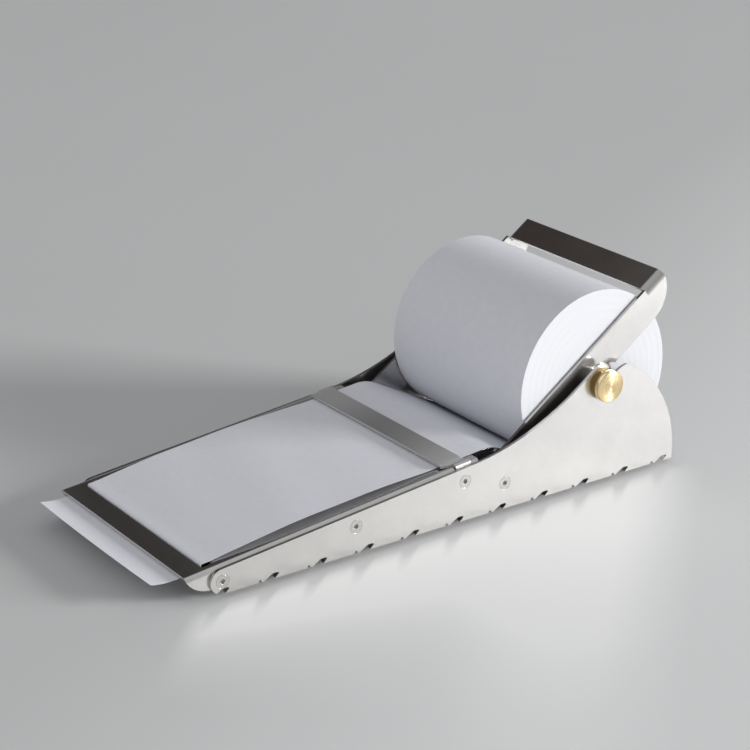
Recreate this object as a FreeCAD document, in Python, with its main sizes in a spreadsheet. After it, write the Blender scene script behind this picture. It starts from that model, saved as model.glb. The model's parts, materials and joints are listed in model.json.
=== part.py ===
import FreeCAD, Part
import math
import os
import Sketcher
from FreeCAD import Placement, Rotation, Vector

# Desktop note-roll dispenser with a tear bar, in millimetres.
# X runs across the device, the paper leaves towards -Y, Z is up.
# The origin is on the table, under the middle of the base. Heights above the base are
# measured from its underside, which the rubber mat lifts off the table.

doc = FreeCAD.newDocument("note_roll_dispenser")
sheet = doc.addObject("Spreadsheet::Sheet", "sizes")

SIZES = [
    # folded shell: base and two side plates
    ("shell_wall", 1.2, "shell sheet thickness"),
    ("nose_y", -100.1, "axis of the rounded nose and its screw"),
    ("nose_radius", 4.7, "nose radius, also its height above the base's underside"),
    ("tray_pitch", 6.3, "slope of the writing surface, degrees"),
    ("sweep_start", 5.5, "where the straight top edge starts to curve up"),
    ("sweep_radius", 105.0, "concave sweep up to the roll holder"),
    ("hump_y", 59.3, "centre of the rounded rear, along Y"),
    ("hump_z", 3.2, "centre of the rounded rear, above the base's underside"),
    ("hump_margin", 9.1, "rounded rear beyond the axle's axis"),
    ("shoulder_run", 8.6, "straight shoulder from the sweep to the left lobe"),
    ("lobe_rise", 6.0, "left lobe of the axle slot above its shoulder"),
    ("mouth_dip", 0.35, "bulge of the edge between the slot and the rounded rear"),
    # rubber mat under the base
    ("mat_height", 2.0, "rubber mat thickness"),
    ("mat_margin", 9.0, "mat inside each side plate"),
    ("mat_front", -92.0, "front edge of the mat"),
    ("mat_rear", 96.0, "rear edge of the mat"),
    ("mat_corner", 6.0, "corner radius of the mat"),
    # fold line with cut-outs along both lower corners
    ("fold_pitch", 20.0, "spacing of the fold cut-outs"),
    ("fold_count", 11, "cut-outs along each side"),
    ("fold_first", -97.5, "square end of the first cut-out"),
    ("fold_length", 5.8, "length of one cut-out"),
    ("fold_height", 2.1, "height of one cut-out"),
    ("fold_depth", 2.8, "cut-out inward from the side plate's outer face"),
    ("relief_radius", 0.6, "round relief ahead of each cut-out"),
    ("relief_lead", 1.9, "relief's centre ahead of its cut-out"),
    ("relief_rise", 0.35, "relief's centre above the base's underside"),
    # axle slot and axle
    ("axle_y", 67.9, "axle axis along Y"),
    ("under_roll", 2.8, "base to the full roll"),
    ("axle_radius", 2.0, "rod radius"),
    ("slot_play", 0.2, "slot wall to rod, each side"),
    ("slot_tilt", 52.0, "direction the slot opens in, degrees above +Y"),
    ("axle_overhang", 2.9, "rod beyond each side plate"),
    ("running_play", 0.06, "radial clearance of a running fit"),
    ("nut_radius", 6.2, "thumb nut radius"),
    ("nut_length", 3.8, "thumb nut length"),
    ("neck_radius", 4.2, "thumb nut's neck radius"),
    ("neck_length", 1.4, "thumb nut's neck against the side plate"),
    ("nut_chamfer", 0.5, "thumb nut rim chamfer"),
    ("face_gap", 0.1, "clearance between faces that turn on each other"),
    ("nut_lead", 0.3, "thumb nut's inner rim chamfer, also its bore beyond the rod"),
    ("collar_radius", 4.0, "lock collar radius"),
    ("collar_play", 0.5, "lock collar to bail arm"),
    ("press_play", 0.02, "screw to nut and rod to lock collar, radial"),
    # paper roll on a cardboard core
    ("roll_width", 79.5, "paper width"),
    ("roll_radius", 35.1, "radius of a full roll"),
    ("core_radius", 8.75, "outer radius of the cardboard core"),
    ("core_wall", 2.35, "cardboard core wall"),
    ("bush_length", 10.0, "core bush length"),
    ("winding_play", 0.03, "paper to core, core to bush"),
    # writing tray
    ("tray_wall", 1.2, "tray sheet thickness"),
    ("tray_side_gap", 0.15, "tray flange to side plate"),
    ("tray_raise", 0.65, "writing surface above the side plates' edge"),
    ("tray_bend", 1.8, "outer bend radius of the tray"),
    ("chin_bulge", 1.0, "bulge of the flange's front edge under the tear bar"),
    ("bar_front", -113.6, "front edge of the tear bar"),
    ("bar_depth", 8.1, "tear bar from front to back"),
    ("exit_gap", 5.0, "paper exit behind the tear bar"),
    ("exit_margin", 1.3, "paper exit beyond each paper edge"),
    ("flange_foot", 2.0, "flange edge above the base's underside"),
    ("flange_overhang", 4.0, "flange foot ahead of the nose screw"),
    ("tray_rear", 10.0, "rear end of the tray flanges"),
    ("guide_inset", 0.15, "curved guide inside each paper edge"),
    ("guide_bend_y", 14.5, "where the guide starts to curve down"),
    ("guide_radius", 16.0, "radius of the curved guide"),
    ("guide_root", 1.0, "overlap of the guide with the tray"),
    ("guide_end", 33.0, "slope of the guide's end, degrees down"),
    # hold-down bar
    ("hold_front", -5.4, "front edge of the hold-down bar"),
    ("hold_depth", 9.3, "hold-down bar from front to back"),
    ("hold_wall", 1.2, "hold-down bar thickness"),
    ("hold_bend", 1.6, "outer bend radius of the hold-down bar's tabs"),
    ("hold_lift", 0.9, "paper passage under the hold-down bar"),
    ("hold_margin", 0.75, "hold-down bar's raised part beyond each paper edge"),
    ("hold_joggle", 2.0, "length of the step beside the paper"),
    ("tab_width", 6.8, "hold-down bar tab width"),
    ("tab_length", 9.5, "hold-down bar tab length"),
    ("tab_play", 0.3, "tab to the tray, on each side"),
    # bail
    ("pivot_y", 21.5, "bail pivot along Y"),
    ("pivot_z", 10.3, "bail pivot above the base's underside"),
    ("bail_tilt", 36.2, "direction of the bail arms at rest, degrees"),
    ("bail_side_gap", 3.25, "bail arm to side plate"),
    ("bail_wall", 1.2, "bail sheet thickness"),
    ("bail_rise", 8.0, "arm's upper edge from the pivot line"),
    ("bail_drop", 5.2, "arm's lower edge from the pivot line"),
    ("bail_clearance", 1.2, "cross bar to the full roll as the bail swings"),
    ("paper_side_gap", 0.35, "bail arm to the paper's end face"),
    ("bail_bar", 10.6, "cross bar along the arms"),
    ("bail_bend", 3.4, "outer bend radius between the cross bar and the arms"),
    ("notch_half", 8.2, "half of the notch's floor over the axle"),
    ("notch_flare", 2.2, "run of the notch's slanted ends"),
    # fasteners
    ("screw_radius", 1.45, "screw shank radius"),
    ("head_radius", 2.6, "countersunk head radius"),
    ("head_depth", 1.1, "countersunk head depth"),
    ("drive_radius", 0.95, "hexagon drive, centre to corner"),
    ("drive_depth", 0.9, "hexagon drive depth"),
    ("hole_play", 0.1, "screw to hole, each side"),
    ("hex_radius", 2.9, "hexagon nut, centre to corner"),
    ("hex_height", 2.0, "hexagon nut height"),
    ("tray_screw_y", -45.2, "tray screw along Y"),
    ("tray_screw_z", 10.5, "tray screw above the base's underside"),
    ("hold_screw_y", 2.9, "hold-down screw along Y"),
    ("hold_screw_z", 15.6, "hold-down screw above the base's underside"),
    ("screw_tip", 0.4, "chamfer of the screw's end"),
    ("screw_proud", 0.5, "screw beyond its nut"),
    ("spacer_radius", 3.6, "pivot spacer radius"),
    ("spacer_play", 0.05, "screw to spacer, radial"),
    # loose paper
    ("web_sheet", 0.3, "thickness of the paper strip"),
    ("web_gap", 0.3, "paper strip to the full roll"),
    ("web_float", 0.35, "paper strip above the tray"),
    ("tail_length", 11.0, "paper ahead of the tear bar"),
    ("tail_curl", 15.0, "curl of that paper, degrees"),
    ("web_wrap", 14.0, "paper that hugs the roll, degrees"),
    ("web_ease", 7.0, "length over which the arched paper turns flat"),
    ("web_climb", 2.1, "run of the paper's rise through the exit"),
    ("web_lead", 0.1, "start of that rise behind the bar's rear edge"),
    ("web_arch", 3.7, "slope of the arched paper at its ends, degrees"),
]

size = {}


def enter(alias, number, note):
    """Write one size in the next row of the sheet."""
    row = len(size) + 1
    sheet.set("A%d" % row, alias)
    sheet.set("B%d" % row, str(number))
    sheet.set("C%d" % row, note)
    sheet.setAlias("B%d" % row, alias)
    size[alias] = float(number)


for alias, number, note in SIZES:
    enter(alias, number, note)

# sizes that follow from the others: the axle carries the roll clear of the base,
# the bail straddles the roll and the shell straddles the bail
axle_z = size["shell_wall"] + size["under_roll"] + size["roll_radius"]
enter("axle_z", axle_z, "axle axis above the base's underside")
axle_from_hump = math.dist((size["hump_y"], size["hump_z"]), (size["axle_y"], size["axle_z"]))
enter("hump_radius", axle_from_hump + size["hump_margin"], "radius of the rounded rear")
beside_roll = size["paper_side_gap"] + size["bail_wall"] + size["bail_side_gap"] + size["shell_wall"]
axle_from_pivot = math.dist((size["pivot_y"], size["pivot_z"]), (size["axle_y"], size["axle_z"]))
clear_of_roll = axle_from_pivot + size["roll_radius"] + size["bail_clearance"]
enter("body_width", size["roll_width"] + 2 * beside_roll, "outside width over the side plates")
enter("guide_width", size["roll_width"] - 2 * size["guide_inset"], "width of the curved guide")
enter("bail_reach", clear_of_roll + size["bail_bar"], "pivot to the bail's far end")
doc.recompute()


# ---------------------------------------------------------------- helpers

def bind(item, path, formula):
    """Drive one property or constraint from the sheet."""
    item.setExpression(path, formula)


def new_body(label):
    body = doc.addObject("PartDesign::Body", label)
    body.Label = label
    return body


def origin_plane(body, role):
    for feature in body.Origin.OriginFeatures:
        if feature.Role == role:
            return feature
    raise ValueError("no plane " + role)


def new_sketch(body, name, role="YZ_Plane"):
    sketch = body.newObject("Sketcher::SketchObject", name)
    sketch.AttachmentSupport = [(origin_plane(body, role), "")]
    sketch.MapMode = "FlatFace"
    return sketch


def flat(point):
    return Vector(point[0], point[1], 0)


def add_outline(sketch, edges):
    """Close a loop of edges: two points make a line, three make an arc."""
    first = sketch.GeometryCount
    for edge in edges:
        if len(edge) == 2:
            sketch.addGeometry(Part.LineSegment(flat(edge[0]), flat(edge[1])))
        else:
            sketch.addGeometry(Part.Arc(flat(edge[0]), flat(edge[1]), flat(edge[2])))
    count = len(edges)
    for index in range(count):
        geo = first + index
        after = first + (index + 1) % count
        sketch.addConstraint(Sketcher.Constraint("Coincident", geo, end_of(sketch, geo, edges[index], 1),
                                                 after, end_of(sketch, after, edges[(index + 1) % count], 0)))
    return first


def end_of(sketch, geo, edge, which):
    """Vertex number of an edge's start (0) or end (1): an arc may be stored reversed."""
    wanted = flat(edge[-1] if which else edge[0])
    start = sketch.getPoint(geo, 1)
    return 1 if start.distanceToPoint(wanted) < 1e-6 else 2


def polygon(points):
    return [(points[i], points[(i + 1) % len(points)]) for i in range(len(points))]


def fix_point(sketch, geo, vertex, x_formula=None, y_formula=None):
    """Hold a vertex at distances from the sketch origin that the sheet drives."""
    point = sketch.getPoint(geo, vertex)
    for kind, value, formula in (("DistanceX", point.x, x_formula), ("DistanceY", point.y, y_formula)):
        if formula:
            index = sketch.addConstraint(Sketcher.Constraint(kind, -1, 1, geo, vertex, value))
            bind(sketch, "Constraints[%d]" % index, formula)


def fix_radius(sketch, geo, radius, formula):
    index = sketch.addConstraint(Sketcher.Constraint("Radius", geo, radius))
    bind(sketch, "Constraints[%d]" % index, formula)


def add_circle(sketch, x, y, radius, x_formula, y_formula, radius_formula):
    geo = sketch.addGeometry(Part.Circle(Vector(x, y, 0), Vector(0, 0, 1), radius))
    fix_point(sketch, geo, 3, x_formula, y_formula)
    fix_radius(sketch, geo, radius, radius_formula)


def extrude(body, kind, name, sketch, formula=None, side="Symmetric", reverse=False):
    """Pad or pocket: a symmetric one without a length formula cuts through everything."""
    feature = body.newObject("PartDesign::" + kind, name)
    feature.Profile = sketch
    feature.SideType = side
    feature.Reversed = reverse
    if formula:
        bind(feature, "Length", formula)
    else:
        feature.Type = "ThroughAll"
    doc.recompute()
    return feature


def cut(body, name, sketch, formula=None, side="Symmetric", reverse=False):
    """Pocket that is checked to remove material."""
    before = body.Shape.Volume
    feature = extrude(body, "Pocket", name, sketch, formula, side, reverse)
    if feature.Shape.Volume > before - 1e-3:
        raise ValueError(name + " removes nothing")
    return feature


def turned(label, points, angle_axis=Vector(0, 1, 0), turn=0.0):
    """Body of revolution about its own Z axis, from an outline of radius and height."""
    body = new_body(label)
    sketch = new_sketch(body, label + "_outline", "XZ_Plane")
    add_outline(sketch, polygon(points))
    revolution = body.newObject("PartDesign::Revolution", label + "_turn")
    revolution.Profile = sketch
    revolution.ReferenceAxis = (sketch, ["V_Axis"])
    revolution.Angle = 360.0
    doc.recompute()
    body.Placement = Placement(Vector(0, 0, 0), Rotation(angle_axis, turn))
    return body


def place(item, x_formula="0", y_formula="0", z_formula="0"):
    """Set an item's origin, with its height measured from the base's underside."""
    bind(item, "Placement.Base.x", x_formula)
    bind(item, "Placement.Base.y", y_formula)
    bind(item, "Placement.Base.z", "sizes.mat_height + " + z_formula)


def polar(distance, degrees):
    return (distance * math.cos(math.radians(degrees)), distance * math.sin(math.radians(degrees)))


def shifted(point, distance, degrees):
    dx, dy = polar(distance, degrees)
    return (point[0] + dx, point[1] + dy)


# ------------------------------------------------- lines shared by pieces

half_width = size["body_width"] / 2
inner_half = half_width - size["shell_wall"]
pitch = size["tray_pitch"]
slope = math.tan(math.radians(pitch))
nose = (size["nose_y"], size["nose_radius"])
nose_top = shifted(nose, size["nose_radius"], pitch + 90)
axle = (size["axle_y"], size["axle_z"])
tray_half = inner_half - size["tray_side_gap"]
bail_half = inner_half - size["bail_side_gap"]
hold_middle = size["hold_front"] + size["hold_depth"] / 2
tab_centre = size["hold_screw_y"] - hold_middle


def edge_height(y):
    """Straight top edge of the side plates."""
    return nose_top[1] + slope * (y - nose_top[0])


def tray_height(y):
    """Writing surface of the tray."""
    return edge_height(y) + size["tray_raise"]


def below_tray(y, depth):
    """Point at a depth below the writing surface, square to it."""
    return shifted((y, tray_height(y)), depth, pitch - 90)


# ---------------------------------------------------------- folded shell

def make_shell():
    body = new_body("body_shell")
    hump = (size["hump_y"], size["hump_z"])
    slot_radius = size["axle_radius"] + size["slot_play"]
    tilt = size["slot_tilt"]
    sweep_from = (size["sweep_start"], edge_height(size["sweep_start"]))
    sweep_centre = shifted(sweep_from, size["sweep_radius"], pitch + 90)
    shoulder_angle = size["bail_tilt"]
    sweep_to = shifted(sweep_centre, size["sweep_radius"], shoulder_angle - 90)
    sweep_mid = shifted(sweep_centre, size["sweep_radius"], (pitch + shoulder_angle) / 2 - 90)
    left_wall = shifted(axle, slot_radius, tilt + 90)
    right_wall = shifted(axle, slot_radius, tilt - 90)
    lobe_left = shifted(sweep_to, size["shoulder_run"], shoulder_angle)
    lobe_right = shifted(left_wall, size["lobe_rise"], tilt)
    lobe_width = math.dist(lobe_left, lobe_right)
    lobe_lean = math.degrees(math.atan2(lobe_right[1] - lobe_left[1], lobe_right[0] - lobe_left[0]))
    lobe_top = shifted(shifted(lobe_left, lobe_width / 2, lobe_lean), lobe_width * 0.3, lobe_lean + 90)
    mouth = shifted(right_wall, size["lobe_rise"] * 1.05, tilt)
    hump_start_angle = math.degrees(math.atan2(mouth[1] - hump[1], mouth[0] - hump[0])) - 5.5
    hump_start = shifted(hump, size["hump_radius"], hump_start_angle)
    mouth_angle = math.degrees(math.atan2(hump_start[1] - mouth[1], hump_start[0] - mouth[0]))
    half_mouth = shifted(mouth, math.dist(mouth, hump_start) / 2, mouth_angle)
    mouth_mid = shifted(half_mouth, size["mouth_dip"], mouth_angle + 90)
    outline = [
        ((nose[0], 0), (hump[0] + size["hump_radius"], 0)),
        ((hump[0] + size["hump_radius"], 0), shifted(hump, size["hump_radius"], 0)),
        (shifted(hump, size["hump_radius"], 0), shifted(hump, size["hump_radius"], hump_start_angle / 2), hump_start),
        (hump_start, mouth_mid, mouth),
        (mouth, right_wall),
        (right_wall, shifted(axle, slot_radius, tilt + 180), left_wall),
        (left_wall, lobe_right),
        (lobe_right, lobe_top, lobe_left),
        (lobe_left, sweep_to),
        (sweep_to, sweep_mid, sweep_from),
        (sweep_from, nose_top),
        (nose_top, shifted(nose, size["nose_radius"], 180), (nose[0], 0)),
    ]
    sketch = new_sketch(body, "side_outline")
    first = add_outline(sketch, outline)
    fix_radius(sketch, first + 2, size["hump_radius"], "sizes.hump_radius")
    fix_point(sketch, first + 2, 3, "sizes.hump_y", "sizes.hump_z")
    fix_radius(sketch, first + 5, slot_radius, "sizes.axle_radius + sizes.slot_play")
    fix_point(sketch, first + 5, 3, "sizes.axle_y", "sizes.axle_z")
    fix_radius(sketch, first + 9, size["sweep_radius"], "sizes.sweep_radius")
    fix_radius(sketch, first + 11, size["nose_radius"], "sizes.nose_radius")
    fix_point(sketch, first + 11, 3, "sizes.nose_y", "sizes.nose_radius")
    extrude(body, "Pad", "side_block", sketch, "sizes.body_width")

    channel = new_sketch(body, "channel_outline", "XZ_Plane")
    roof = size["hump_z"] + 2 * size["hump_radius"]
    first = add_outline(channel, polygon([(-inner_half, size["shell_wall"]), (inner_half, size["shell_wall"]),
                                          (inner_half, roof), (-inner_half, roof)]))
    fix_point(channel, first, 1, "-sizes.body_width / 2 + sizes.shell_wall", "sizes.shell_wall")
    fix_point(channel, first, 2, "sizes.body_width / 2 - sizes.shell_wall", "sizes.shell_wall")
    cut(body, "channel", channel)

    holes = new_sketch(body, "screw_holes")
    for y_alias, z_alias in STATIONS.values():
        add_circle(holes, size[y_alias], size[z_alias], size["screw_radius"] + size["hole_play"],
                   "sizes." + y_alias, "sizes." + z_alias, "sizes.screw_radius + sizes.hole_play")
    cut(body, "screw_passages", holes)

    for side, sign in (("right", 1), ("left", -1)):
        sinks = new_sketch(body, "countersinks_" + side)
        bind(sinks, "AttachmentOffset.Base.z", "%d * sizes.body_width / 2" % sign)
        for y_alias, z_alias in STATIONS.values():
            add_circle(sinks, size[y_alias], size[z_alias], size["head_radius"] + size["hole_play"] / 2,
                       "sizes." + y_alias, "sizes." + z_alias, "sizes.head_radius + sizes.hole_play / 2")
        sink = body.newObject("PartDesign::Pocket", "countersink_" + side)
        sink.Profile = sinks
        sink.Reversed = sign < 0
        sink.TaperAngle = -HEAD_TAPER
        bind(sink, "Length", "sizes.head_depth")
        doc.recompute()

    for side, sign in (("right", 1), ("left", -1)):
        wedge = new_sketch(body, "fold_wedge_" + side)
        bind(wedge, "AttachmentOffset.Base.z", "%d * sizes.body_width / 2" % sign)
        end = size["fold_first"]
        length = size["fold_length"]
        height = size["fold_height"]
        add_outline(wedge, polygon([(end - length, -height / 4), (end - length / 4, -height / 4),
                                    (end - length / 4, height * 0.1), (end, height * 0.75),
                                    (end - length * 0.08, height), (end - length * 0.45, height),
                                    (end - length, height * 0.1)]))
        add_circle(wedge, end - length - size["relief_lead"], size["relief_rise"], size["relief_radius"],
                   "sizes.fold_first - sizes.fold_length - sizes.relief_lead", "sizes.relief_rise",
                   "sizes.relief_radius")
        notch = cut(body, "fold_cutout_" + side, wedge, "sizes.fold_depth", "One side", sign < 0)
        pattern = body.newObject("PartDesign::LinearPattern", "fold_line_" + side)
        pattern.Originals = [notch]
        pattern.Direction = (wedge, ["H_Axis"])
        bind(pattern, "Length", "(sizes.fold_count - 1) * sizes.fold_pitch")
        bind(pattern, "Occurrences", "sizes.fold_count")
        body.Tip = pattern
        doc.recompute()
    place(body)
    return body


def make_mat():
    """Stuck-on rubber mat under the base, with rounded corners."""
    body = new_body("rubber_mat")
    half = half_width - size["mat_margin"]
    front = size["mat_front"]
    rear = size["mat_rear"]
    sketch = new_sketch(body, "mat_outline", "XY_Plane")
    first = add_outline(sketch, polygon([(-half, front), (half, front), (half, rear), (-half, rear)]))
    fix_point(sketch, first, 1, "-sizes.body_width / 2 + sizes.mat_margin", "sizes.mat_front")
    fix_point(sketch, first + 1, 2, "sizes.body_width / 2 - sizes.mat_margin", "sizes.mat_rear")
    slab = extrude(body, "Pad", "mat_slab", sketch, "sizes.mat_height", "One side", True)
    rounded = body.newObject("PartDesign::Fillet", "mat_corners")
    upright = [number for number, edge in enumerate(slab.Shape.Edges, start=1) if edge.BoundBox.ZLength > 0.01]
    rounded.Base = (slab, ["Edge%d" % number for number in upright])
    bind(rounded, "Radius", "sizes.mat_corner")
    doc.recompute()
    place(body)


# stations of the countersunk screws, from front to back
STATIONS = {
    "nose": ("nose_y", "nose_radius"),
    "tray": ("tray_screw_y", "tray_screw_z"),
    "hold": ("hold_screw_y", "hold_screw_z"),
    "pivot": ("pivot_y", "pivot_z"),
}
HEAD_TAPER = math.degrees(math.atan2(size["head_radius"] - size["screw_radius"], size["head_depth"]))


# ---------------------------------------------------------- writing tray

def make_tray():
    body = new_body("writing_tray")
    front = size["bar_front"]
    rear = size["tray_rear"]
    foot = size["flange_foot"]
    wall = size["tray_wall"]
    foot_front = nose[0] - size["flange_overhang"]
    front_low = below_tray(front, wall)
    bulge = size["chin_bulge"]
    curve_mid = ((front_low[0] + foot_front) / 2 - bulge, (front_low[1] + foot) / 2 - bulge)
    sketch = new_sketch(body, "flange_outline")
    first = add_outline(sketch, [
        ((foot_front, foot), (rear, foot)),
        ((rear, foot), (rear, tray_height(rear))),
        ((rear, tray_height(rear)), (front, tray_height(front))),
        ((front, tray_height(front)), front_low),
        (front_low, curve_mid, (foot_front, foot)),
    ])
    fix_point(sketch, first, 2, "sizes.tray_rear", "sizes.flange_foot")
    fix_point(sketch, first + 2, 2, "sizes.bar_front")
    tray_width = "sizes.body_width - 2 * sizes.shell_wall - 2 * sizes.tray_side_gap"
    block = extrude(body, "Pad", "tray_block", sketch, tray_width)

    rounded = body.newObject("PartDesign::Fillet", "side_bends")
    names = []
    for number, edge in enumerate(block.Shape.Edges, start=1):
        middle = edge.CenterOfMass
        on_side = abs(abs(middle.x) - tray_half) < 0.01
        if on_side and abs(middle.z - tray_height(middle.y)) < 0.01:
            names.append("Edge%d" % number)
    rounded.Base = (block, names)
    bind(rounded, "Radius", "sizes.tray_bend")
    doc.recompute()

    hollow = new_sketch(body, "underside_outline")
    ahead = front - size["tail_length"]
    behind = rear + size["tail_length"]
    add_outline(hollow, polygon([(ahead, -foot), (behind, -foot), below_tray(behind, wall), below_tray(ahead, wall)]))
    cut(body, "underside", hollow, tray_width + " - 2 * sizes.tray_wall")

    exit_slot = new_sketch(body, "exit_outline", "XY_Plane")
    exit_half = size["roll_width"] / 2 + size["exit_margin"]
    exit_front = front + size["bar_depth"]
    exit_rear = exit_front + size["exit_gap"]
    first = add_outline(exit_slot, polygon([(-exit_half, exit_front), (exit_half, exit_front),
                                            (exit_half, exit_rear), (-exit_half, exit_rear)]))
    fix_point(exit_slot, first, 1, "-sizes.roll_width / 2 - sizes.exit_margin", "sizes.bar_front + sizes.bar_depth")
    fix_point(exit_slot, first + 2, 1, "sizes.roll_width / 2 + sizes.exit_margin",
              "sizes.bar_front + sizes.bar_depth + sizes.exit_gap")
    cut(body, "paper_exit", exit_slot)

    relief = new_sketch(body, "tab_reliefs", "XY_Plane")
    relief.AttachmentOffset = Placement(Vector(0, hold_middle, tray_height(hold_middle)),
                                        Rotation(Vector(1, 0, 0), pitch))
    front_side = tab_centre - size["tab_width"] / 2 - size["tab_play"]
    rear_side = tab_centre + size["tab_width"] / 2 + size["tab_play"]
    inner = tray_half - size["hold_wall"] - size["tab_play"]
    outer = half_width
    for side in (-1, 1):
        add_outline(relief, polygon([(side * inner, front_side), (side * outer, front_side),
                                     (side * outer, rear_side), (side * inner, rear_side)]))
    cut(body, "tab_passages", relief)

    holes = new_sketch(body, "flange_holes")
    for station in ("nose", "tray"):
        y_alias, z_alias = STATIONS[station]
        add_circle(holes, size[y_alias], size[z_alias], size["screw_radius"] + size["hole_play"],
                   "sizes." + y_alias, "sizes." + z_alias, "sizes.screw_radius + sizes.hole_play")
    cut(body, "flange_passages", holes)

    guide = new_sketch(body, "guide_outline")
    bend = (size["guide_bend_y"], tray_height(size["guide_bend_y"]))
    centre = shifted(bend, size["guide_radius"], pitch - 90)
    inside = size["guide_radius"] - wall
    start_angle = pitch + 90
    end_angle = 90 - size["guide_end"]
    mid_angle = (start_angle + end_angle) / 2
    root = rear - size["guide_root"]
    first = add_outline(guide, [
        ((root, tray_height(root)), bend),
        (bend, shifted(centre, size["guide_radius"], mid_angle), shifted(centre, size["guide_radius"], end_angle)),
        (shifted(centre, size["guide_radius"], end_angle), shifted(centre, inside, end_angle)),
        (shifted(centre, inside, end_angle), shifted(centre, inside, mid_angle), shifted(centre, inside, start_angle)),
        (shifted(centre, inside, start_angle), below_tray(root, wall)),
        (below_tray(root, wall), (root, tray_height(root))),
    ])
    fix_radius(guide, first + 1, size["guide_radius"], "sizes.guide_radius")
    extrude(body, "Pad", "guide_plate", guide, "sizes.guide_width")
    place(body)
    return body


# --------------------------------------------------------- hold-down bar

def make_hold_down_bar():
    """Bridge with stepped ends, drawn square to the writing surface and then tilted with it."""
    body = new_body("hold_down_bar")
    wall = size["hold_wall"]
    lift = size["hold_lift"]
    step = size["roll_width"] / 2 + size["hold_margin"]
    seat = step + size["hold_joggle"]
    bend = size["hold_bend"]
    inner_bend = bend - wall
    drop = -size["tab_length"]
    sketch = new_sketch(body, "bridge_outline", "XZ_Plane")

    def side_points(sign):
        arc_mid = polar(1, 45)
        top = [(sign * step, lift + wall), (sign * seat, wall)]
        corner = (sign * (tray_half - bend), wall - bend)
        outer_arc = ((sign * (tray_half - bend), wall),
                     (corner[0] + sign * bend * arc_mid[0], corner[1] + bend * arc_mid[1]),
                     (sign * tray_half, wall - bend))
        inner_arc = ((sign * (tray_half - wall), wall - bend),
                     (corner[0] + sign * inner_bend * arc_mid[0], corner[1] + inner_bend * arc_mid[1]),
                     (sign * (tray_half - bend), 0))
        under = [(sign * seat, 0), (sign * step, lift)]
        return top, outer_arc, inner_arc, under

    top_r, outer_r, inner_r, under_r = side_points(1)
    top_l, outer_l, inner_l, under_l = side_points(-1)
    edges = [
        (top_l[0], top_r[0]), (top_r[0], top_r[1]), (top_r[1], outer_r[0]), outer_r,
        (outer_r[2], (tray_half, drop)), ((tray_half, drop), (tray_half - wall, drop)),
        ((tray_half - wall, drop), inner_r[0]), inner_r, (inner_r[2], under_r[0]), (under_r[0], under_r[1]),
        (under_r[1], under_l[1]), (under_l[1], under_l[0]), (under_l[0], inner_l[2]),
        (inner_l[2], inner_l[1], inner_l[0]), (inner_l[0], (-tray_half + wall, drop)),
        ((-tray_half + wall, drop), (-tray_half, drop)), ((-tray_half, drop), outer_l[2]),
        (outer_l[2], outer_l[1], outer_l[0]), (outer_l[0], top_l[1]), (top_l[1], top_l[0]),
    ]
    add_outline(sketch, edges)
    half_depth = size["hold_depth"] / 2
    tab_front = tab_centre - size["tab_width"] / 2
    tab_rear = tab_centre + size["tab_width"] / 2
    extrude(body, "Pad", "bridge", sketch, "2 * (sizes.hold_screw_y - sizes.hold_front + sizes.tab_width)")

    trims = new_sketch(body, "bridge_trims", "XY_Plane")
    beyond = 2 * size["hold_depth"]
    outside = half_width + wall
    waist = seat - size["hold_joggle"] / 2
    add_outline(trims, polygon([(-outside, -beyond), (outside, -beyond), (outside, tab_front), (seat, tab_front),
                                (waist, -half_depth), (-waist, -half_depth), (-seat, tab_front),
                                (-outside, tab_front)]))
    add_outline(trims, polygon([(-outside, tab_rear), (-seat, tab_rear), (-waist, half_depth),
                                (waist, half_depth), (seat, tab_rear), (outside, tab_rear),
                                (outside, beyond), (-outside, beyond)]))
    cut(body, "bridge_sides", trims)

    centre_y = tab_centre
    centre_z = size["hold_screw_z"] - tray_height(hold_middle)
    cosine = math.cos(math.radians(pitch))
    sine = math.sin(math.radians(pitch))
    hole = new_sketch(body, "tab_hole")
    hole.addGeometry(Part.Circle(Vector(centre_y * cosine + centre_z * sine, centre_z * cosine - centre_y * sine, 0),
                                 Vector(0, 0, 1), size["screw_radius"] + size["hole_play"]))
    fix_radius(hole, 0, size["screw_radius"] + size["hole_play"], "sizes.screw_radius + sizes.hole_play")
    cut(body, "tab_passages", hole)
    lift = size["mat_height"] + tray_height(hold_middle)
    body.Placement = Placement(Vector(0, hold_middle, lift), Rotation(Vector(1, 0, 0), pitch))
    bind(body, "Placement.Base.y", "sizes.hold_front + sizes.hold_depth / 2")
    return body


# ------------------------------------------------------------------ bail

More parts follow.
